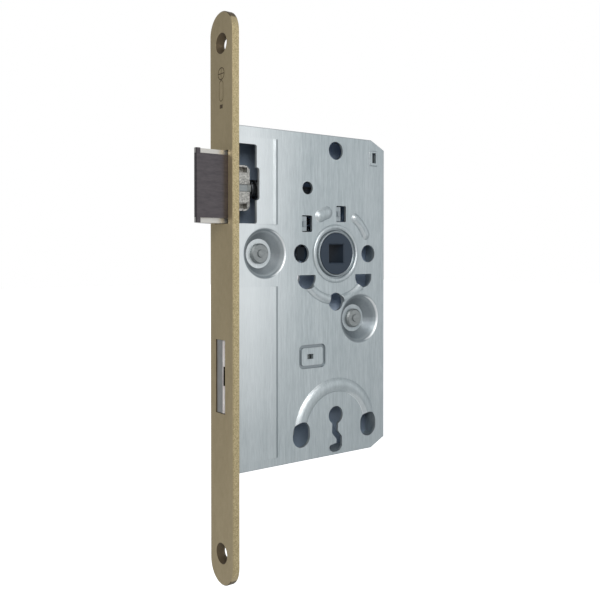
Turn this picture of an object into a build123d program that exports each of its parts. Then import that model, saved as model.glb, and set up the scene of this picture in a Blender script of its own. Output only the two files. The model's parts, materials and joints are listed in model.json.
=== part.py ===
from build123d import *
from math import cos, radians, sin
import os

os.makedirs("parts", exist_ok=True)

# A warded mortise lock for an interior door, in millimetres.
# The origin is on the follower's axis, in the middle of the case's thickness.
# +X points to the back of the lock, -Y to the cover plate, +Z up.

# Driving dimensions
backset = 55.0
centres = 72.0
forend_width = 18.0
forend_length = 235.0
forend_thickness = 3.0
forend_screw_spacing = 209.0
case_height = 142.0
case_back = 29.0
case_half = 6.5
sheet = 1.2
rosette_half_spacing = 19.0
square_size = 8.1

# Places that follow from them
middle_z = -18.75
forend_front = -backset
case_front = forend_front + forend_thickness
case_top = middle_z + case_height / 2
case_bottom = middle_z - case_height / 2
inner_half = case_half - sheet
key_z = -centres
escutcheon_z = key_z - 6.2

# Relief of both plates
crease_x = -31.9
crease_height = 0.75
crease_ramp = 16.0
crease_spans = [(12.2, 47.9), (-86.0, -13.8)]
bead_height = 1.4
collar_outer = 13.0
collar_inner = 11.1
collar_height = 0.9
edge_radius = 0.5
dimples = [(-37.7, 0.0, 10.4), (14.1, -29.6, 11.0)]
rivet_radius = 2.5
window_low = 12.3
window_high = 44.9
window_back = -42.0

# Latch, which slides back as the follower turns
latch_middle_z = 27.0
latch_height = 29.5
latch_half = 5.2
latch_nose = -69.4
latch_shoulder = -51.0
shank_end = -43.4
shank_half_height = 9.4
tail_z = 27.0
pin_x = -45.9
hook_front = 2.75
hook_low = 17.7
spring_lug_x = -21.5

# Deadbolt and its tumbler
bolt_low = -65.55
bolt_high = -35.55
bolt_near = -2.65
bolt_far = 4.35
bolt_front = -54.6
bolt_back = -29.0
bolt_throw = 14.0
tail_thickness = 3.0
stud_x = -14.2
stud_z = -44.75
stud_radius = 2.0
stump_x = -2.0
stump_z = -53.0
stump_radius = 1.5
tumbler_pivot_x = 22.0
tumbler_pivot_z = -52.0
tumbler_drop = 4.0

# Follower
journal_radius = 9.15
follower_radius = 9.9
hub_half = 7.2
arm_tip = 20.8


def face_plane(y):
    """An X-Z plane at this Y, whose sketches are seen and extruded towards the cover."""
    return Plane.XZ.offset(-y)


def case_outline():
    """The outline of the case, with its two rear corners cut off."""
    with BuildSketch() as outline:
        with BuildLine():
            Polyline(
                (case_front, case_bottom),
                (case_back - 8, case_bottom),
                (case_back, case_bottom + 4.2),
                (case_back, case_top - 4.2),
                (case_back - 8, case_top),
                (case_front, case_top),
                close=True,
            )
        make_face()
    return outline.sketch


def keyhole():
    """A round hole for the key's stem, over a cranked slot for its warded bit."""
    with BuildSketch() as hole:
        with Locations((0, key_z)):
            Circle(4.0)
        with BuildLine():
            Polyline(
                (-1.9, key_z - 2),
                (1.5, key_z - 2),
                (1.2, key_z - 7.0),
                (3.6, key_z - 10),
                (3.6, key_z - 14.2),
                (2.4, key_z - 15.8),
                (0.6, key_z - 16.4),
                (-1.6, key_z - 16.3),
                (-3.2, key_z - 15.5),
                (-3.7, key_z - 14.2),
                (-3.2, key_z - 13.2),
                (0.4, key_z - 12.4),
                (0.4, key_z - 10.8),
                (-2.2, key_z - 7.8),
                close=True,
            )
        make_face()
    return hole.sketch


def fixing_holes():
    """The holes of both plates: for handle screws, escutcheon screws and fittings."""
    with BuildSketch() as holes:
        with Locations((0, 45.7), (-rosette_half_spacing, 0), (rosette_half_spacing, 0), (0, -21.4)):
            Circle(4.0)
        for x in (-rosette_half_spacing, rosette_half_spacing):
            with Locations((x, escutcheon_z)):
                SlotOverall(11.2, 9.2, rotation=90)
        for x in (-16.2, 16.2):
            with Locations((x, -10.5)):
                Circle(4.9)
            with Locations((x, -9.3)):
                Rectangle(10, 4, align=(Align.CENTER, Align.MIN), mode=Mode.SUBTRACT)
        add(keyhole())
    return holes.sketch


def bead(side, radius, width, start, turn, middle_z=0.0):
    """A pressed bead with a rounded section and round ends, along an arc about (0, middle_z)."""
    surface = side * case_half
    crown = side * (case_half + bead_height)
    with BuildPart() as pressed:
        for angle in (start, start + turn):
            x = radius * cos(radians(angle))
            z = middle_z + radius * sin(radians(angle))
            with BuildSketch(Plane((x, 0, z))):
                with BuildLine():
                    Polyline((0, crown), (0, surface), (width / 2, surface))
                    shoulder = (width / 4, surface + 0.74 * (crown - surface))
                    ThreePointArc((width / 2, surface), shoulder, (0, crown))
                make_face()
            revolve(axis=Axis((x, 0, z), (0, 1, 0)))
        outward = Vector(cos(radians(start)), 0, sin(radians(start)))
        section_plane = Plane((0, 0, middle_z), x_dir=outward, z_dir=outward.cross(Vector(0, 1, 0)))
        with BuildSketch(section_plane):
            with BuildLine():
                Line((radius - width / 2, surface), (radius + width / 2, surface))
                ThreePointArc((radius + width / 2, surface), (radius, crown), (radius - width / 2, surface))
            make_face()
        revolve(axis=Axis((0, 0, middle_z), (0, -1, 0)), revolution_arc=turn)
    return pressed.part


def dimple_wall(radius, side):
    """Half the section of a dimple's conical wall. side is -1 for the cover, 1 for the tray."""
    with BuildSketch() as section:
        with BuildLine():
            Polyline(
                (0, side * sheet),
                (6.2, side * sheet),
                (radius, side * case_half),
                (radius + 2, side * case_half),
                (radius + 2, side * inner_half),
                (radius + 1, side * inner_half),
                (7.0, 0),
                (0, 0),
                close=True,
            )
        make_face()
        rim = section.vertices().filter_by(lambda v: abs(v.X - radius) < 0.01)
        floor_edge = section.vertices().filter_by(lambda v: abs(v.X - 6.2) < 0.01)
        fillet(rim, 1.3)
        fillet(floor_edge, 1.2)
    return section.sketch


def relief(side):
    """The raised shapes on the outside of a plate: crease, beads and the follower's collar."""
    surface = side * case_half
    with BuildPart() as raised:
        for low, high in crease_spans:
            with BuildSketch(Plane.XY.offset(low)):
                with BuildLine():
                    Polyline(
                        (crease_x - crease_ramp, surface),
                        (crease_x - 2.2, side * (case_half + 0.45 * crease_height)),
                        (crease_x - 0.9, side * (case_half + crease_height)),
                        (crease_x + 0.6, surface),
                        (crease_x + 0.6, surface - side * 0.2),
                        (crease_x - crease_ramp, surface - side * 0.2),
                        close=True,
                    )
                make_face()
            extrude(amount=high - low)
        add(bead(side, 18.7, 5.6, 105, 13))
        add(bead(side, 19.5, 4.6, 26, 29))
        add(bead(side, 20.6, 4.4, 226, 32))
        add(bead(side, 20.6, 4.4, 282, 32))
        add(bead(side, 19.7, 6.2, 0, 180, escutcheon_z))
        with BuildSketch(Plane.XY):
            with BuildLine():
                Line((collar_inner, surface), (collar_outer, surface))
                ThreePointArc(
                    (collar_outer, surface),
                    ((collar_inner + collar_outer) / 2, side * (case_half + collar_height)),
                    (collar_inner, side * (case_half + 0.5)),
                )
                Line((collar_inner, side * (case_half + 0.5)), (collar_inner, surface))
            make_face()
        revolve(axis=Axis.Y)
    return raised.part


def plate_with_relief(side):
    """One plate of the case, flat sheet with its dimples, beads, collar and holes."""
    with BuildPart() as plate:
        with BuildSketch(face_plane(max(side * case_half, side * inner_half))):
            add(case_outline())
        extrude(amount=sheet)
        outer_face = plate.faces().sort_by(Axis.Y)[0 if side < 0 else -1]
        fillet(outer_face.edges().sort_by(Axis.X)[1:], edge_radius)
        add(relief(side))
        for x, z, radius in dimples:
            with BuildSketch(face_plane(case_half + 3)):
                with Locations((x, z)):
                    Circle(radius + 1.8)
            extrude(amount=2 * case_half + 6, mode=Mode.SUBTRACT)
            with BuildSketch(Plane((x, 0, z))):
                add(dimple_wall(radius, side))
            revolve(axis=Axis((x, 0, z), (0, 1, 0)))
            with BuildSketch(face_plane(case_half + 3)):
                with Locations((x, z)):
                    Circle(rivet_radius)
            extrude(amount=2 * case_half + 6, mode=Mode.SUBTRACT)
        with BuildSketch(face_plane(case_half + 3)):
            add(fixing_holes())
            Circle(collar_inner)
        extrude(amount=2 * case_half + 6, mode=Mode.SUBTRACT)
    return plate.part


def block(low, high, mode=Mode.ADD):
    """A box between two opposite corners."""
    size = [h - l for l, h in zip(low, high)]
    middle = [(h + l) / 2 for l, h in zip(low, high)]
    with Locations(tuple(middle)):
        Box(*size, mode=mode)


def pin(x, z, radius, y_low, y_high, mode=Mode.ADD):
    """A round pin or bore across the lock, along Y."""
    with Locations(Location((x, (y_low + y_high) / 2, z), (90, 0, 0))):
        Cylinder(radius, y_high - y_low, mode=mode)


# Forend: round-ended strip with two countersunk screw holes and two openings
with BuildPart() as forend:
    with BuildSketch(Plane.YZ.offset(forend_front)):
        with Locations((0, middle_z)):
            SlotOverall(forend_length, forend_width, rotation=90)
    extrude(amount=forend_thickness)
    chamfer(forend.faces().sort_by(Axis.X)[0].edges(), 0.35)
    for end in (-1, 1):
        z = middle_z + end * forend_screw_spacing / 2
        with Locations(Plane((forend_front, 0, z), z_dir=(-1, 0, 0))):
            CounterSinkHole(2.4, 4.35, depth=forend_thickness, counter_sink_angle=90)
    # plain engraved mark: a ringed cross over an oblong and a bar
    with BuildSketch(Plane((forend_front, 0, 68), x_dir=(0, -1, 0), z_dir=(-1, 0, 0))):
        with Locations((0, 5.4)):
            Circle(2.6)
            Circle(2.2, mode=Mode.SUBTRACT)
            Rectangle(0.4, 4.6)
            Rectangle(4.6, 0.4)
        with Locations((0, -1.6)):
            SlotOverall(8.6, 3.4, rotation=90)
            SlotOverall(8.0, 2.8, rotation=90, mode=Mode.SUBTRACT)
        with Locations((0, -8.0)):
            Rectangle(2.4, 1.6)
    extrude(amount=-0.12, mode=Mode.SUBTRACT)
    latch_low = latch_middle_z - latch_height / 2
    latch_high = latch_middle_z + latch_height / 2
    latch_gap = latch_half + 0.15
    block(
        (forend_front - 1, -latch_gap, latch_low - 0.15),
        (case_front + 1, latch_gap, latch_high + 0.15),
        Mode.SUBTRACT,
    )
    block(
        (forend_front - 1, bolt_near - 0.15, bolt_low - 0.15),
        (case_front + 1, bolt_far + 0.15, bolt_high + 0.15),
        Mode.SUBTRACT,
    )

# Case tray: far plate, four walls, and the lugs bent up from its floor
with BuildPart() as case_tray:
    add(plate_with_relief(1))
    with BuildSketch(face_plane(inner_half)):
        add(case_outline())
        offset(case_outline(), amount=-sheet, kind=Kind.INTERSECTION, mode=Mode.SUBTRACT)
    extrude(amount=2 * inner_half)
    block((case_front - 1, -latch_gap, latch_low - 0.15), (case_front + 2, inner_half, latch_high + 0.15),
          Mode.SUBTRACT)
    block((case_front - 1, bolt_near - 0.15, bolt_low - 0.15),
          (case_front + 2, bolt_far + 0.15, bolt_high + 0.15), Mode.SUBTRACT)
    # abutment of the latch spring, which the latch tail passes through
    block((spring_lug_x, -4.4, tail_z - 5.5), (spring_lug_x + 1.4, inner_half + 0.5, tail_z + 5.5))
    block((spring_lug_x - 1, -1.7, tail_z - 2.6), (spring_lug_x + 3, 1.7, tail_z + 2.6), Mode.SUBTRACT)
    # upper seat of the follower spring, and the follower's rest stop
    block((-15.2, -3.0, 19.8), (-9.6, inner_half + 0.5, 21.0))
    block((-14.6, 1.0, -4.6), (-11.4, inner_half + 0.5, -3.15))
    # post that stands under the cover plate's frame, and seats of the stud and the pivot
    block((21.3, -inner_half + 0.2, 41.8), (22.3, inner_half + 0.5, 46.2))
    pin(stud_x, stud_z, stud_radius, inner_half - 1, case_half + 1, Mode.SUBTRACT)
    pin(tumbler_pivot_x, tumbler_pivot_z, stud_radius, inner_half - 1, case_half + 1, Mode.SUBTRACT)

# Cover plate: near plate, with the latch window and the small openings
with BuildPart() as cover_plate:
    add(plate_with_relief(-1))
    with BuildSketch(face_plane(-case_half + 3)):
        with Locations(((case_front + window_back) / 2 - 1, (window_low + window_high) / 2)):
            RectangleRounded(window_back - case_front + 2, window_high - window_low, 0.9)
        with Locations((window_back, 28.75)):
            RectangleRounded(2.6, 13.5, 1.2)
        with Locations((-15.7, 28.4)):
            Circle(2.8)
        with Locations((-16, 12.95), (3, 17.7)):
            RectangleRounded(5.6, 7.2, 0.6)
    extrude(amount=6, mode=Mode.SUBTRACT)
    # sunk lugs with a nub, at the left of the two square windows
    for x, z in ((-18.8, 12.95), (0.2, 17.7)):
        block((x - 0.4, -5.3, z - 3.2), (x + 3.4, -4.1, z + 3.2))
        block((x + 1.2, -6.0, z - 1.2), (x + 2.8, -5.3, z + 1.2))
    # raised frame with a slit, over the tray's post
    with BuildSketch(face_plane(-case_half)):
        with Locations((22.2, 43.8)):
            RectangleRounded(5.4, 7.2, 1.0)
    extrude(amount=0.6, taper=38)
    block((21.1, -case_half - 2, 41.65), (23.3, -inner_half + 1, 46.35), Mode.SUBTRACT)
    # groove pressed round the place of the bolt's guide stud
    with BuildSketch(face_plane(-case_half)):
        with Locations((-13.1, -44.75)):
            RectangleRounded(14.4, 10.4, 2.2)
            RectangleRounded(11.6, 7.6, 1.2, mode=Mode.SUBTRACT)
    extrude(amount=-0.8, mode=Mode.SUBTRACT)
    with BuildSketch(face_plane(-inner_half)):
        with Locations((-13.1, -44.75)):
            RectangleRounded(14.4, 10.4, 2.2)
    extrude(amount=-0.5)
    block((stud_x - 1.65, -case_half - 1, stud_z - 1.1), (stud_x + 1.65, -inner_half + 2, stud_z + 1.1),
          Mode.SUBTRACT)
    # lug that the tumbler spring bears on
    block((-3.0, -inner_half - 0.5, -43.4), (1.0, 0.6, -42.2))

# Two rivets that join the plates at the dimples
with BuildPart() as case_rivets:
    for x, z, radius in dimples:
        pin(x, z, rivet_radius, -sheet, sheet)
        for side in (-1, 1):
            with BuildSketch(Plane((x, 0, z))):
                with BuildLine():
                    Polyline(
                        (0, side * sheet),
                        (4.3, side * sheet),
                        (4.3, side * (sheet + 1.1)),
                        (3.7, side * (sheet + 1.7)),
                        (1.7, side * (sheet + 1.7)),
                        (1.4, side * (sheet + 2.3)),
                        (0, side * (sheet + 2.4)),
                        close=True,
                    )
                make_face()
            revolve(axis=Axis((x, 0, z), (0, 1, 0)))

# Two bearing rings pressed into the collars, which carry the follower
with BuildPart() as follower_bushes:
    for side in (-1, 1):
        with BuildSketch(Plane.XY):
            with BuildLine():
                Polyline(
                    (journal_radius + 0.08, side * inner_half),
                    (collar_inner, side * inner_half),
                    (collar_inner, side * (case_half - 0.5)),
                    (10.5, side * (case_half - 0.5)),
                    (9.95, side * (case_half + 0.55)),
                    (9.55, side * (case_half + 0.7)),
                    (journal_radius + 0.08, side * (case_half + 0.4)),
                    close=True,
                )
            make_face()
        revolve(axis=Axis.Y)

# Follower: hub with the spindle's square, a long arm for the latch and a short one for its spring
with BuildPart() as follower:
    pin(0, 0, journal_radius, -hub_half, hub_half)
    pin(0, 0, follower_radius, -inner_half + 0.2, inner_half - 0.2)
    with BuildSketch(face_plane(3.0)):
        with BuildLine():
            Polyline(
                (-6, 7),
                (6, 7),
                (2.6, arm_tip - 3),
                (2.6, arm_tip),
                (-2.6, arm_tip),
                (-3.4, arm_tip - 3),
                close=True,
            )
        make_face()
        with Locations((-10.4, 0)):
            Rectangle(8.8, 6)
    extrude(amount=6.0)
    with BuildSketch(face_plane(hub_half)):
        Rectangle(square_size, square_size)
    extrude(amount=2 * hub_half, mode=Mode.SUBTRACT)
    for end in (0, -1):
        chamfer(follower.faces().sort_by(Axis.Y)[end].inner_wires()[0].edges(), 0.45)


def coil(start, direction, length, turns, radius, wire):
    """A compression spring of round wire, made of equal turns from this point."""
    pitch = length / turns
    with BuildPart() as one_turn:
        with BuildLine():
            path = Helix(pitch, pitch, radius, center=start, direction=direction)
        with BuildSketch(Plane(path @ 0, z_dir=path % 0)):
            Circle(wire)
        sweep()
    with BuildPart() as spring:
        for turn in range(turns):
            add(Pos(Vector(direction) * (turn * pitch)) * one_turn.part)
    return spring.part


# Latch spring, round the latch tail
with BuildPart() as latch_spring:
    add(coil((shank_end + 0.7, 0, tail_z), (1, 0, 0), spring_lug_x - shank_end - 1.4, 8, 3.6, 0.5))

# Follower spring, between the follower's short arm and its seat on the tray
with BuildPart() as follower_spring:
    add(coil((-12.4, 0, 3.5), (0, 0, 1), 15.8, 8, 1.85, 0.35))

# Latch head: flat on the near side, bevelled on the far side, rebated at top and bottom
with BuildPart() as latch_head:
    with BuildSketch(Plane.XY.offset(latch_low)):
        with BuildLine():
            Polyline(
                (-56.0, latch_half),
                (latch_shoulder, latch_half),
                (latch_shoulder, -latch_half),
                (latch_nose, -latch_half),
                (latch_nose, -latch_half + 1.8),
            )
            ThreePointArc((latch_nose, -latch_half + 1.8), (-63.6, 1.7), (-56.0, latch_half))
        make_face()
    extrude(amount=latch_height)
    chamfer(latch_head.edges().filter_by(Axis.Z).sort_by(Axis.X)[0:2], 0.3)
    for low, high in ((latch_low - 1, latch_low + 2), (latch_high - 2, latch_high + 1)):
        block((latch_nose + 1.9, -latch_half - 1, low), (latch_shoulder + 1, -latch_half + 1.5, high),
              Mode.SUBTRACT)
    # shank behind the head, with a slot inside each rounded rib and a raised block beside the clip
    with BuildSketch(face_plane(3.4)):
        with Locations(((latch_shoulder + shank_end) / 2, tail_z)):
            Rectangle(shank_end - latch_shoulder, 2 * shank_half_height)
        fillet(vertices().sort_by(Axis.X)[-2:], 2.6)
    extrude(amount=6.8)
    for side in (-1, 1):
        low, high = sorted((tail_z + side * 6.4, tail_z + side * 8.6))
        block((latch_shoulder, -4, low), (shank_end - 1.3, -0.4, high), Mode.SUBTRACT)
        low, high = sorted((tail_z + side * 1.6, tail_z + side * 6.0))
        block((latch_shoulder, -4.1, low), (shank_end - 0.5, -3.4, high))
    block((shank_end - 4.4, -1.35, tail_z - 2.25), (shank_end + 1, 1.35, tail_z + 2.25), Mode.SUBTRACT)
    block((latch_shoulder, -5, tail_z - 1.5), (shank_end + 1, -2.8, tail_z + 1.5), Mode.SUBTRACT)
    pin(pin_x, tail_z, 1.2, -2.8, 3.4, Mode.SUBTRACT)

# Latch tail: flat bar that ends in a hook behind the follower's arm
with BuildPart() as latch_tail:
    with BuildSketch(face_plane(1.3)):
        with BuildLine():
            Polyline(
                (shank_end - 4.3, tail_z - 2.2),
                (hook_front, tail_z - 2.2),
                (hook_front, hook_low),
                (hook_front + 4.1, hook_low),
                (hook_front + 4.1, tail_z + 2.2),
                (shank_end - 4.3, tail_z + 2.2),
                close=True,
            )
        make_face()
        with Locations((pin_x, tail_z)):
            Circle(1.2, mode=Mode.SUBTRACT)
    extrude(amount=2.6)

# Pin that holds the tail in the latch head
with BuildPart() as latch_pin:
    pin(pin_x, tail_z, 1.2, -2.8, 3.4)

# Spring clip over the pin, which is pressed aside to turn the latch over
with BuildPart() as latch_clip:
    with BuildSketch(Plane.XY.offset(tail_z - 1.4)):
        with BuildLine():
            Polyline(
                (latch_shoulder + 0.1, -2.8),
                (latch_shoulder + 0.1, -3.6),
                (shank_end - 1.4, -3.6),
                (shank_end - 0.4, -4.7),
                (shank_end + 0.2, -4.3),
                (shank_end - 0.9, -2.8),
                close=True,
            )
        make_face()
    extrude(amount=2.8)

# Deadbolt head, with a notch in its near edge, and the rebate for its tail
with BuildPart() as deadbolt_head:
    block((bolt_front, bolt_near, bolt_low), (bolt_back, bolt_far, bolt_high))
    chamfer(deadbolt_head.faces().sort_by(Axis.X)[0].edges().filter_by(Axis.Z).sort_by(Axis.Y)[0], 2.4)
    block((bolt_front - 1, bolt_near - 1, -54.3), (bolt_front + 3.6, bolt_near + 2.2, -46.4), Mode.SUBTRACT)
    block(
        (bolt_back - 4.5, bolt_far - tail_thickness, bolt_low - 1),
        (bolt_back + 1, bolt_far + 1, bolt_high + 1),
        Mode.SUBTRACT,
    )
    for z in (-43.0, -55.0):
        pin(-31.2, z, 1.2, bolt_near - 1, bolt_far, Mode.SUBTRACT)

# Deadbolt tail: plate with the slot for the guide stud and the notch that the key's bit moves
tail_near = bolt_far - tail_thickness
slot_half = stud_radius + 0.15
with BuildPart() as deadbolt_tail:
    with BuildSketch(face_plane(bolt_far)):
        with BuildLine():
            Polyline(
                (bolt_back - 4.5, -38.0),
                (1.0, -38.0),
                (6.0, -42.3),
                (14.2, -42.3),
                (14.2, -59.0),
                (10.9, -59.0),
                (10.9, -54.6),
                (3.3, -54.6),
                (3.3, -59.0),
                (bolt_back - 4.5, -59.0),
                close=True,
            )
        make_face()
        with Locations((stud_x + bolt_throw / 2, stud_z)):
            SlotOverall(bolt_throw + 2 * slot_half, 2 * slot_half, mode=Mode.SUBTRACT)
        with Locations((-31.2, -43.0), (-31.2, -55.0)):
            Circle(1.2, mode=Mode.SUBTRACT)
        with Locations((stump_x, stump_z)):
            Circle(stump_radius, mode=Mode.SUBTRACT)
    extrude(amount=tail_thickness)

# Two rivets that join the deadbolt's head and tail
with BuildPart() as deadbolt_rivets:
    for z in (-43.0, -55.0):
        pin(-31.2, z, 1.2, bolt_near, bolt_far)

# Stump on the deadbolt's tail, which the tumbler locks
with BuildPart() as deadbolt_stump:
    pin(stump_x, stump_z, stump_radius, -1.6, bolt_far)

# Guide stud of the deadbolt, riveted in the tray
with BuildPart() as bolt_guide_stud:
    pin(stud_x, stud_z, stud_radius, -4.2, case_half)

# Pivot of the tumbler, riveted in the tray, with a collar under the tumbler
with BuildPart() as tumbler_pivot:
    pin(tumbler_pivot_x, tumbler_pivot_z, stud_radius, -2.2, case_half)
    pin(tumbler_pivot_x, tumbler_pivot_z, 3.6, 1.0, inner_half)


def stump_in_tumbler(x):
    """Where the stump at this X stands in the raised tumbler's outline once the tumbler has dropped."""
    across = x - tumbler_pivot_x
    up = stump_z - tumbler_pivot_z
    turn = radians(tumbler_drop)
    return (
        tumbler_pivot_x + across * cos(turn) + up * sin(turn),
        tumbler_pivot_z - across * sin(turn) + up * cos(turn),
    )


# Tumbler, drawn raised as a key holds it: a gate lets the stump pass, and a pocket at
# each end of the gate catches it when the tumbler drops
gate_half = stump_radius + 0.15
tumbler_top = -47.3
with BuildPart() as tumbler:
    with BuildSketch(face_plane(0.9)):
        with BuildLine():
            Polyline(
                (tumbler_pivot_x, tumbler_top),
                (-20.5, tumbler_top),
                (-21.5, tumbler_top - 1.5),
                (-21.5, -54.0),
                (-18.0, -57.0),
                (14.0, -57.0),
                (tumbler_pivot_x, -55.6),
                close=True,
            )
        make_face()
        with Locations((tumbler_pivot_x, tumbler_pivot_z)):
            Circle(4.4)
        with Locations((stump_x - bolt_throw / 2, stump_z)):
            SlotOverall(bolt_throw + 2 * gate_half, 2 * gate_half, mode=Mode.SUBTRACT)
        for x in (stump_x, stump_x - bolt_throw):
            pocket_x, pocket_z = stump_in_tumbler(x)
            with Locations((pocket_x, pocket_z)):
                Circle(gate_half, mode=Mode.SUBTRACT)
            with Locations(((pocket_x + x) / 2, (pocket_z + stump_z) / 2)):
                Rectangle(2 * gate_half + 0.3, pocket_z - stump_z, mode=Mode.SUBTRACT)
        with Locations((tumbler_pivot_x, tumbler_pivot_z)):
            Circle(stud_radius + 0.06, mode=Mode.SUBTRACT)
    extrude(amount=2.3)

# Leaf spring on the tumbler's top edge
with BuildPart() as tumbler_spring:
    with BuildSketch(face_plane(0.5)):
        with BuildLine():
            Line((19.0, tumbler_top), (13.0, tumbler_top))
            ThreePointArc((13.0, tumbler_top), (5.0, -45.0), (-2.6, -43.95))
            Line((-2.6, -43.95), (-2.6, -43.45))
            ThreePointArc((-2.6, -43.45), (5.2, -44.5), (13.0, tumbler_top + 0.5))
            Line((13.0, tumbler_top + 0.5), (19.0, tumbler_top + 0.5))
            Line((19.0, tumbler_top + 0.5), (19.0, tumbler_top))
        make_face()
    extrude(amount=1.6)

pieces = {
    "forend": forend,
    "case_tray": case_tray,
    "cover_plate": cover_plate,
    "case_rivets": case_rivets,
    "follower_bushes": follower_bushes,
    "follower": follower,
    "follower_spring": follower_spring,
    "latch_head": latch_head,
    "latch_tail": latch_tail,
    "latch_pin": latch_pin,
    "latch_clip": latch_clip,
    "latch_spring": latch_spring,
    "deadbolt_head": deadbolt_head,
    "deadbolt_tail": deadbolt_tail,
    "deadbolt_rivets": deadbolt_rivets,
    "deadbolt_stump": deadbolt_stump,
    "bolt_guide_stud": bolt_guide_stud,
    "tumbler_pivot": tumbler_pivot,
    "tumbler": tumbler,
    "tumbler_spring": tumbler_spring,
}
for label, piece in pieces.items():
    piece.part.label = label
    export_step(piece.part, f"parts/{label}.step")
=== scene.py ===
import json
import math

import bpy
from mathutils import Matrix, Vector

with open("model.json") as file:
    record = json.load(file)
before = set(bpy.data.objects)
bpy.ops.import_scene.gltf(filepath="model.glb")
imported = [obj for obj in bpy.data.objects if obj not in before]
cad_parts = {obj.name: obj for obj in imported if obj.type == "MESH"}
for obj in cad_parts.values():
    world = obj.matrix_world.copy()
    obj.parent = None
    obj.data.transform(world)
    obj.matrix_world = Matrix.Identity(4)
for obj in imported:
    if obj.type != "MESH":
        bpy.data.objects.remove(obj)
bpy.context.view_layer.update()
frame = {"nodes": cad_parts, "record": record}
MM = 0.001

# Where the painted light and the finishes change, in millimetres from the follower's centre
case_half = 6.5
crease_gap_middle = -0.8
crease_gap_half = 13.0
crease_span_middle = -19.05
crease_span_half = 66.85
crease_start = (-32.7, -32.4)
crease_end = (-31.8, -31.3)
forend_front = -55.0
forend_rim = 7.0
latch_middle_z = 27.0
latch_rebate_half = 12.6
latch_shoulder = (-52.5, -51.0)
bolt_notch_start = (-54.4, -54.3)
bolt_notch_end = (-50.2, -50.0)


# Materials -----------------------------------------------------------------

class Shader:
    """A Principled material, with short calls that add and link its nodes."""

    def __init__(self, name, **sockets):
        self.material = bpy.data.materials.new(name)
        self.material.use_nodes = True
        self.tree = self.material.node_tree
        self.principled = self.tree.nodes["Principled BSDF"]
        for socket, value in sockets.items():
            self.principled.inputs[socket.replace("_", " ")].default_value = value
        self.place = self.node("ShaderNodeTexCoord").outputs["Object"]

    def node(self, kind, **settings):
        made = self.tree.nodes.new(kind)
        for key, value in settings.items():
            setattr(made, key, value)
        return made

    def link(self, source, target):
        self.tree.links.new(source, target)

    def drive(self, socket, source):
        """Link a value or colour to one of the material's own sockets."""
        self.link(source, self.principled.inputs[socket])

    def scaled(self, scale):
        """Object coordinates, stretched by a scale for each axis."""
        mapping = self.node("ShaderNodeMapping")
        mapping.inputs["Scale"].default_value = scale
        self.link(self.place, mapping.inputs["Vector"])
        return mapping.outputs["Vector"]

    def noise(self, cells, stretch=(1, 1, 1), detail=4.0, roughness=0.6):
        """Noise of this many cells per metre, drawn out along the axes where stretch is small."""
        noise = self.node("ShaderNodeTexNoise")
        noise.inputs["Scale"].default_value = cells
        noise.inputs["Detail"].default_value = detail
        noise.inputs["Roughness"].default_value = roughness
        self.link(self.scaled(stretch), noise.inputs["Vector"])
        return noise.outputs["Fac"]

    def spread(self, source, low, high, start=0.3, end=0.7):
        """Low where the source is below start, high where it is above end, and even between them."""
        span = self.node("ShaderNodeMapRange")
        span.inputs["From Min"].default_value = start
        span.inputs["From Max"].default_value = end
        span.inputs["To Min"].default_value = low
        span.inputs["To Max"].default_value = high
        self.link(source, span.inputs["Value"])
        return span.outputs["Result"]

    def window(self, source, rise, fall, top=1):
        """Top where the source is between a rise and a fall, each a start and an end, and else 0."""
        return self.times(self.spread(source, 0, top, *rise), self.spread(source, 1, 0, *fall))

    def mix(self, factor, first, second):
        """A colour between two, each a colour or a node's output."""
        mix = self.node("ShaderNodeMix", data_type="RGBA")
        for value, target in ((first, mix.inputs["A"]), (second, mix.inputs["B"])):
            if isinstance(value, tuple):
                target.default_value = (*value, 1)
            else:
                self.link(value, target)
        self.link(factor, mix.inputs["Factor"])
        return mix.outputs["Result"]

    def bump(self, height, depth, strength):
        """Bump of this depth in metres on the material's surface."""
        bump = self.node("ShaderNodeBump")
        bump.inputs["Distance"].default_value = depth
        bump.inputs["Strength"].default_value = strength
        self.link(height, bump.inputs["Height"])
        self.drive("Normal", bump.outputs["Normal"])

    def along(self, axis):
        """How far each point lies along one of the object's axes, in millimetres."""
        split = self.node("ShaderNodeSeparateXYZ")
        self.link(self.scaled((1 / MM, 1 / MM, 1 / MM)), split.inputs["Vector"])
        return split.outputs[axis]

    def facing(self, axis):
        """How far each face looks along one of the axes, from -1 to 1."""
        split = self.node("ShaderNodeSeparateXYZ")
        self.link(self.node("ShaderNodeNewGeometry").outputs["Normal"], split.inputs["Vector"])
        return split.outputs[axis]

    def away(self, source, middle=0):
        """How far a value is from the middle, on either side of it."""
        difference = self.node("ShaderNodeMath", operation="SUBTRACT")
        difference.inputs[1].default_value = middle
        self.link(source, difference.inputs[0])
        distance = self.node("ShaderNodeMath", operation="ABSOLUTE")
        self.link(difference.outputs[0], distance.inputs[0])
        return distance.outputs[0]

    def times(self, first, *others):
        """The product of two or more values."""
        for other in others:
            product = self.node("ShaderNodeMath", operation="MULTIPLY")
            self.link(first, product.inputs[0])
            self.link(other, product.inputs[1])
            first = product.outputs[0]
        return first


def brushed(zinc, grain):
    """The zinc's own tone: soft clouds, long pale streaks and a dark upright grain."""
    streaks = zinc.noise(420, (1.6, 1.6, 0.025), detail=3)
    clouds = zinc.noise(40, (1, 1, 0.7), detail=6)
    tint = zinc.mix(zinc.spread(clouds, 0, 1), (0.46, 0.515, 0.53), (0.58, 0.63, 0.645))
    tint = zinc.mix(zinc.spread(streaks, 0, 0.35), tint, (0.74, 0.79, 0.80))
    return zinc.mix(zinc.spread(grain, 0, 0.55), tint, (0.25, 0.29, 0.31))


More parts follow.
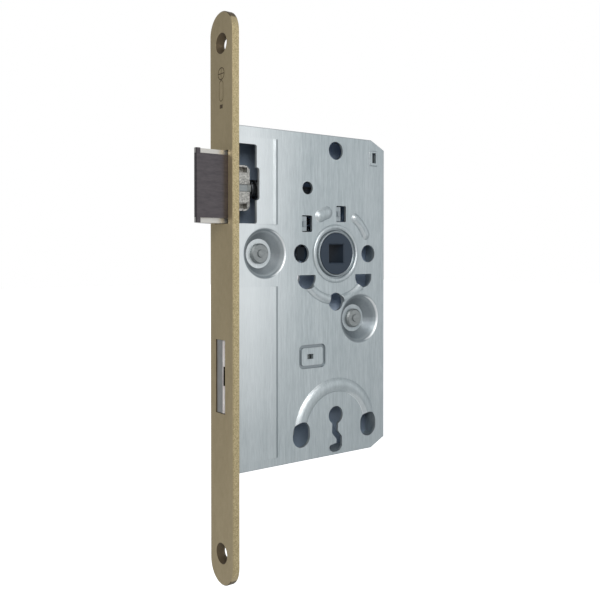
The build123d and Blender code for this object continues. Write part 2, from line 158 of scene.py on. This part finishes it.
def painted_light_on_plate(zinc, tint):
    """Painted light on the plate: a painted highlight towards the forend and the top, painted shade
    towards the back, a painted highlight on the ramp before each crease and painted shade along each
    crease.
    """
    across = zinc.along("X")
    height = zinc.along("Z")
    # pale is the colour of the painted highlights on this plate
    pale = (0.93, 0.96, 0.965)
    # painted highlight: the plate paler towards the forend and towards the top
    painted_top_light = zinc.spread(height, 0.15, 0.75, -75, -20)
    tint = zinc.mix(zinc.times(zinc.spread(across, 0.85, 0, -44, -18), painted_top_light), tint, pale)

    from_gap = zinc.away(height, crease_gap_middle)
    from_middle = zinc.away(height, crease_span_middle)
    creased = zinc.times(zinc.spread(from_gap, 0, 1, crease_gap_half - 0.1, crease_gap_half + 0.1),
                         zinc.spread(from_middle, 1, 0, crease_span_half - 0.35, crease_span_half + 0.35))
    # painted highlight on the ramp before each crease, stronger towards the top
    painted_ramp_highlight = zinc.times(creased, zinc.spread(across, 0.15, 0, *crease_start), painted_top_light)
    tint = zinc.mix(painted_ramp_highlight, tint, pale)
    # painted shade: the plate darker towards the back
    tint = zinc.mix(zinc.spread(across, 0, 0.3, -10, 30), tint, (0.34, 0.38, 0.40))
    # painted shade along each crease line
    painted_crease_shade = zinc.times(creased, zinc.window(across, crease_start, crease_end, top=0.6))
    return zinc.mix(painted_crease_shade, tint, (0.16, 0.19, 0.21))


def painted_light_on_pressings(zinc, tint):
    """Painted shade on the slopes in the dimples and on the cut edges, and painted highlights on the rims
    on the sides that face the forend.
    """
    depth = zinc.away(zinc.along("Y"))
    level = zinc.away(zinc.facing("Y"))
    backwards = zinc.facing("X")
    # painted shade on the dimple slopes, strongest on slopes turned away from the forend
    dimple_shade = zinc.times(zinc.window(level, (0.15, 0.3), (0.97, 0.985)),
                        zinc.spread(depth, 1, 0, case_half - 2.3, case_half - 0.1),
                        zinc.spread(backwards, 0.66, 0.95, -0.3, 0.4))
    tint = zinc.mix(dimple_shade, tint, (0.17, 0.195, 0.215))
    # painted shade on the cut edges, weakest on those that face the forend
    edge_shade = zinc.times(zinc.window(depth, (5.2, 5.4), (case_half - 0.17, case_half - 0.03)),
                      zinc.spread(backwards, 0.2, 1, -0.8, -0.4))
    tint = zinc.mix(edge_shade, tint, (0.30, 0.335, 0.355))
    # painted highlight on the rims that face the forend
    rim = zinc.times(zinc.window(level, (0.60, 0.68), (0.94, 0.957), top=0.75),
                     zinc.spread(backwards, 1, 0, -0.32, -0.18),
                     zinc.spread(depth, 0, 1, case_half - 0.9, case_half - 0.5),
                     zinc.spread(depth, 1, 0.4, case_half, case_half + 0.3))
    return zinc.mix(rim, tint, (0.95, 0.97, 0.975))


def painted_light_inside_case(zinc):
    """Painted light inside the case: bluish, paler towards the top, with painted shade darkest behind the
    latch and at the bottom.
    """
    by_height = zinc.spread(zinc.along("Z"), 0, 1, -80, 30)
    tint = zinc.mix(by_height, (0.27, 0.34, 0.43), (0.55, 0.67, 0.84))
    return zinc.mix(zinc.spread(zinc.along("X"), 0, 1, -26, -12), (0.24, 0.30, 0.38), tint)


def zinc_sheet():
    """Zinc-plated sheet with a fine upright grain, with painted shade in its dimples, painted highlights
    on its plate and painted shade inside the case.
    """
    zinc = Shader("zinc_sheet", Roughness=0.42)
    grain = zinc.noise(1500, (1.6, 1.6, 0.10), detail=8, roughness=0.75)
    outside = painted_light_on_pressings(zinc, painted_light_on_plate(zinc, brushed(zinc, grain)))
    # inward faces take the painted light and shade of the inside of the case, and are less metallic
    inwards = zinc.spread(zinc.times(zinc.along("Y"), zinc.facing("Y")), 1, 0, -0.4, -0.1)
    zinc.drive("Base Color", zinc.mix(inwards, outside, painted_light_inside_case(zinc)))
    zinc.drive("Metallic", zinc.spread(inwards, 0.7, 0.1, 0, 1))
    zinc.drive("Roughness", zinc.spread(grain, 0.34, 0.50))
    zinc.bump(grain, 0.08 * MM, 0.9)
    return zinc.material


def satin_gold():
    """Champagne-gold lacquer on steel: brown and smooth on the face, paler and speckled on the rim."""
    gold = Shader("satin_gold", Metallic=0.65, Roughness=0.45)
    fine = gold.noise(700, (1, 1, 0.5), detail=4)
    specks = gold.noise(2600, detail=3)
    clouds = gold.noise(40, (1, 1, 0.3), detail=4)
    face = gold.mix(gold.spread(clouds, 0, 1), (0.43, 0.34, 0.20), (0.52, 0.42, 0.25))
    face = gold.mix(gold.spread(fine, 0, 0.35), face, (0.62, 0.51, 0.32))
    rim = gold.mix(gold.spread(specks, 0, 1), (0.30, 0.23, 0.11), (0.68, 0.57, 0.34))
    aside = gold.away(gold.along("Y"))
    behind = gold.spread(gold.along("X"), 0, 1, forend_front + 0.02, forend_front + 0.1)
    # painted shade: faces behind the forend's front, such as its sunk marks and the walls of its
    # openings, darkened
    sunk = gold.times(behind, gold.spread(aside, 1, 0, forend_rim - 0.2, forend_rim + 0.4))
    face = gold.mix(sunk, face, (0.13, 0.095, 0.055))
    on_rim = gold.times(behind, gold.spread(aside, 0, 1, forend_rim, forend_rim + 1.9))
    gold.drive("Base Color", gold.mix(on_rim, face, rim))
    gold.drive("Roughness", gold.spread(specks, 0.36, 0.56))
    gold.bump(specks, 0.04 * MM, 0.7)
    return gold.material


def plain_metal(name, dark, light, rough):
    """Turned, cast or drawn metal in a plain tone, with light scratches."""
    metal = Shader(name, Metallic=0.9, Roughness=rough)
    grain = metal.noise(500, (1, 1, 2.5), detail=6)
    metal.drive("Base Color", metal.mix(metal.spread(grain, 0, 1), dark, light))
    metal.drive("Roughness", metal.spread(grain, rough - 0.08, rough + 0.1))
    metal.bump(grain, 0.02 * MM, 0.5)
    return metal.material


def cast_latch():
    """Nickel-plated casting: satin on the head, with a painted highlight on the rebate strips along its
    top and bottom, rough and paler on the shank behind it.
    """
    cast = Shader("cast_latch", Metallic=0.85, Roughness=0.3)
    fine = cast.noise(260, (1, 1, 4), detail=3)
    rough = cast.noise(1300, detail=8, roughness=0.75)
    head = cast.mix(cast.spread(fine, 0, 1), (0.085, 0.076, 0.082), (0.115, 0.102, 0.107))
    shank = cast.mix(cast.spread(rough, 0, 1), (0.12, 0.12, 0.11), (0.88, 0.86, 0.81))
    behind = cast.spread(cast.along("X"), 0, 1, *latch_shoulder)
    from_middle = cast.away(cast.along("Z"), latch_middle_z)
    # painted highlight on the head's rebate strips
    rebate_highlight = cast.spread(from_middle, 0, 1, latch_rebate_half, latch_rebate_half + 0.15)
    sunk = cast.spread(cast.along("Y"), 0, 1, -5.0, -4.5)
    head = cast.mix(cast.times(rebate_highlight, sunk), head, (0.62, 0.60, 0.56))
    cast.drive("Base Color", cast.mix(behind, head, shank))
    cast.drive("Roughness", cast.spread(behind, 0.30, 0.5, 0, 1))
    cast.bump(cast.times(rough, behind), 0.5 * MM, 0.8)
    return cast.material


def cast_bolt():
    """Nickel-plated casting of the deadbolt: grey on the end, a painted highlight on the bevel, painted
    shade in its notch.
    """
    bolt = Shader("cast_bolt", Metallic=0.8, Roughness=0.38)
    grain = bolt.noise(700, (1, 1, 0.5), detail=6)
    end = bolt.mix(bolt.spread(grain, 0, 1), (0.34, 0.335, 0.32), (0.46, 0.455, 0.44))
    # painted highlight on the bevel, which is also made less metallic
    bevel_highlight = bolt.mix(bolt.spread(grain, 0, 1), (0.80, 0.71, 0.68), (1.0, 0.96, 0.93))
    bevelled = bolt.window(bolt.facing("Y"), (-0.85, -0.80), (-0.60, -0.55))
    # painted shade in the bolt's notch
    notch_shade = bolt.times(bolt.window(bolt.along("X"), bolt_notch_start, bolt_notch_end),
                       bolt.window(bolt.along("Y"), (-2.6, -2.5), (-0.4, -0.3)),
                       bolt.spread(bevelled, 1, 0, 0, 1))
    plain = bolt.mix(notch_shade, end, (0.03, 0.03, 0.035))
    bolt.drive("Base Color", bolt.mix(bevelled, plain, bevel_highlight))
    bolt.drive("Metallic", bolt.spread(bevelled, 0.8, 0.3, 0, 1))
    bolt.drive("Roughness", bolt.spread(grain, 0.30, 0.5))
    bolt.bump(grain, 0.08 * MM, 0.6)
    return bolt.material


def nylon():
    """Dark moulded nylon with a soft eggshell surface."""
    plastic = Shader("nylon", Roughness=0.5)
    grain = plastic.noise(1500, detail=4)
    plastic.drive("Base Color", plastic.mix(grain, (0.010, 0.021, 0.038), (0.022, 0.038, 0.060)))
    plastic.drive("Roughness", plastic.spread(grain, 0.45, 0.62))
    plastic.bump(grain, 0.02 * MM, 0.4)
    return plastic.material


finishes = {
    "case_zinc": zinc_sheet(),
    "forend_satin_gold": satin_gold(),
    "rivet_steel": plain_metal("rivet_steel", (0.26, 0.28, 0.28), (0.38, 0.40, 0.40), 0.5),
    "bush_steel": plain_metal("bush_steel", (0.34, 0.38, 0.40), (0.46, 0.50, 0.52), 0.45),
    "spring_steel": plain_metal("spring_steel", (0.05, 0.055, 0.06), (0.10, 0.105, 0.11), 0.4),
    "latch_nickel": cast_latch(),
    "bolt_nickel": cast_bolt(),
    "inner_steel": plain_metal("inner_steel", (0.07, 0.08, 0.09), (0.13, 0.14, 0.15), 0.45),
    "follower_nylon": nylon(),
}
slot_of = {entry["node"]: entry["material_slot"] for entry in frame["record"]["subparts"]}
for name, node in frame["nodes"].items():
    node.data.materials.clear()
    node.data.materials.append(finishes[slot_of[name]])


# Stage ---------------------------------------------------------------------

camera_place = (-217.4 * MM, -275.0 * MM, -0.3 * MM)
camera_turn = -37.0
camera_dip = 0.66
floor_height = -0.9
floor_size = 40


def make_camera():
    """A camera to the left of the cover plate, level with the follower."""
    lens = bpy.data.cameras.new("camera")
    lens.sensor_width = 36
    lens.lens = 46.53
    lens.shift_x = -0.0147
    lens.shift_y = -0.0613
    lens.clip_start = 0.01
    camera = bpy.data.objects.new("camera", lens)
    camera.location = camera_place
    camera.rotation_euler = (math.radians(90 - camera_dip), 0, math.radians(camera_turn))
    bpy.context.scene.collection.objects.link(camera)
    bpy.context.scene.camera = camera


def area_light(name, place, target, size, power):
    """A soft square light that faces its target."""
    lamp = bpy.data.lights.new(name, "AREA")
    lamp.shape = "SQUARE"
    lamp.size = size
    lamp.energy = power
    light = bpy.data.objects.new(name, lamp)
    light.location = place
    light.rotation_euler = (Vector(target) - Vector(place)).to_track_quat("-Z", "Y").to_euler()
    bpy.context.scene.collection.objects.link(light)


def make_floor():
    """A plain pale floor, well under the lock, that glows for the camera alone."""
    bpy.ops.mesh.primitive_plane_add(size=floor_size, location=(0, 0, floor_height))
    floor = bpy.context.object
    floor.name = "floor"
    pale = Shader("pale_floor", Roughness=0.8, Emission_Color=(1, 1, 1, 1))
    camera_ray = pale.node("ShaderNodeLightPath").outputs["Is Camera Ray"]
    pale.drive("Emission Strength", pale.spread(camera_ray, 0.12, 0.9, 0, 1))
    pale.drive("Base Color", pale.mix(pale.noise(30), (0.86, 0.86, 0.86), (0.88, 0.88, 0.88)))
    floor.data.materials.append(pale.material)


def make_world():
    """White surroundings for the camera, and a dimmer studio for the lock, darkest to its left."""
    world = bpy.data.worlds.new("studio")
    world.use_nodes = True
    tree = world.node_tree
    seen = tree.nodes["Background"]
    seen.inputs["Color"].default_value = (1, 1, 1, 1)
    seen.inputs["Strength"].default_value = 1.0
    lighting = tree.nodes.new("ShaderNodeBackground")
    lighting.inputs["Color"].default_value = (0.93, 0.97, 1.0, 1)
    direction = tree.nodes.new("ShaderNodeSeparateXYZ")
    tree.links.new(tree.nodes.new("ShaderNodeTexCoord").outputs["Generated"], direction.inputs["Vector"])
    falloff = tree.nodes.new("ShaderNodeMapRange")
    falloff.inputs["From Min"].default_value = -0.9
    falloff.inputs["From Max"].default_value = 0.1
    falloff.inputs["To Min"].default_value = 0.22
    falloff.inputs["To Max"].default_value = 0.52
    tree.links.new(direction.outputs["X"], falloff.inputs["Value"])
    tree.links.new(falloff.outputs["Result"], lighting.inputs["Strength"])
    camera_ray = tree.nodes.new("ShaderNodeLightPath").outputs["Is Camera Ray"]
    either = tree.nodes.new("ShaderNodeMixShader")
    tree.links.new(camera_ray, either.inputs["Fac"])
    tree.links.new(lighting.outputs["Background"], either.inputs[1])
    tree.links.new(seen.outputs["Background"], either.inputs[2])
    tree.links.new(either.outputs["Shader"], tree.nodes["World Output"].inputs["Surface"])
    bpy.context.scene.world = world


make_camera()
make_floor()
make_world()
area_light("key", place=(-0.36, -0.62, 0.34), target=(-0.05, 0, 0.01), size=0.45, power=3.4)
area_light("fill", place=(0.85, -1.15, 0.25), target=(0, 0, -0.02), size=1.3, power=2.4)
bpy.context.scene.view_settings.view_transform = "Standard"
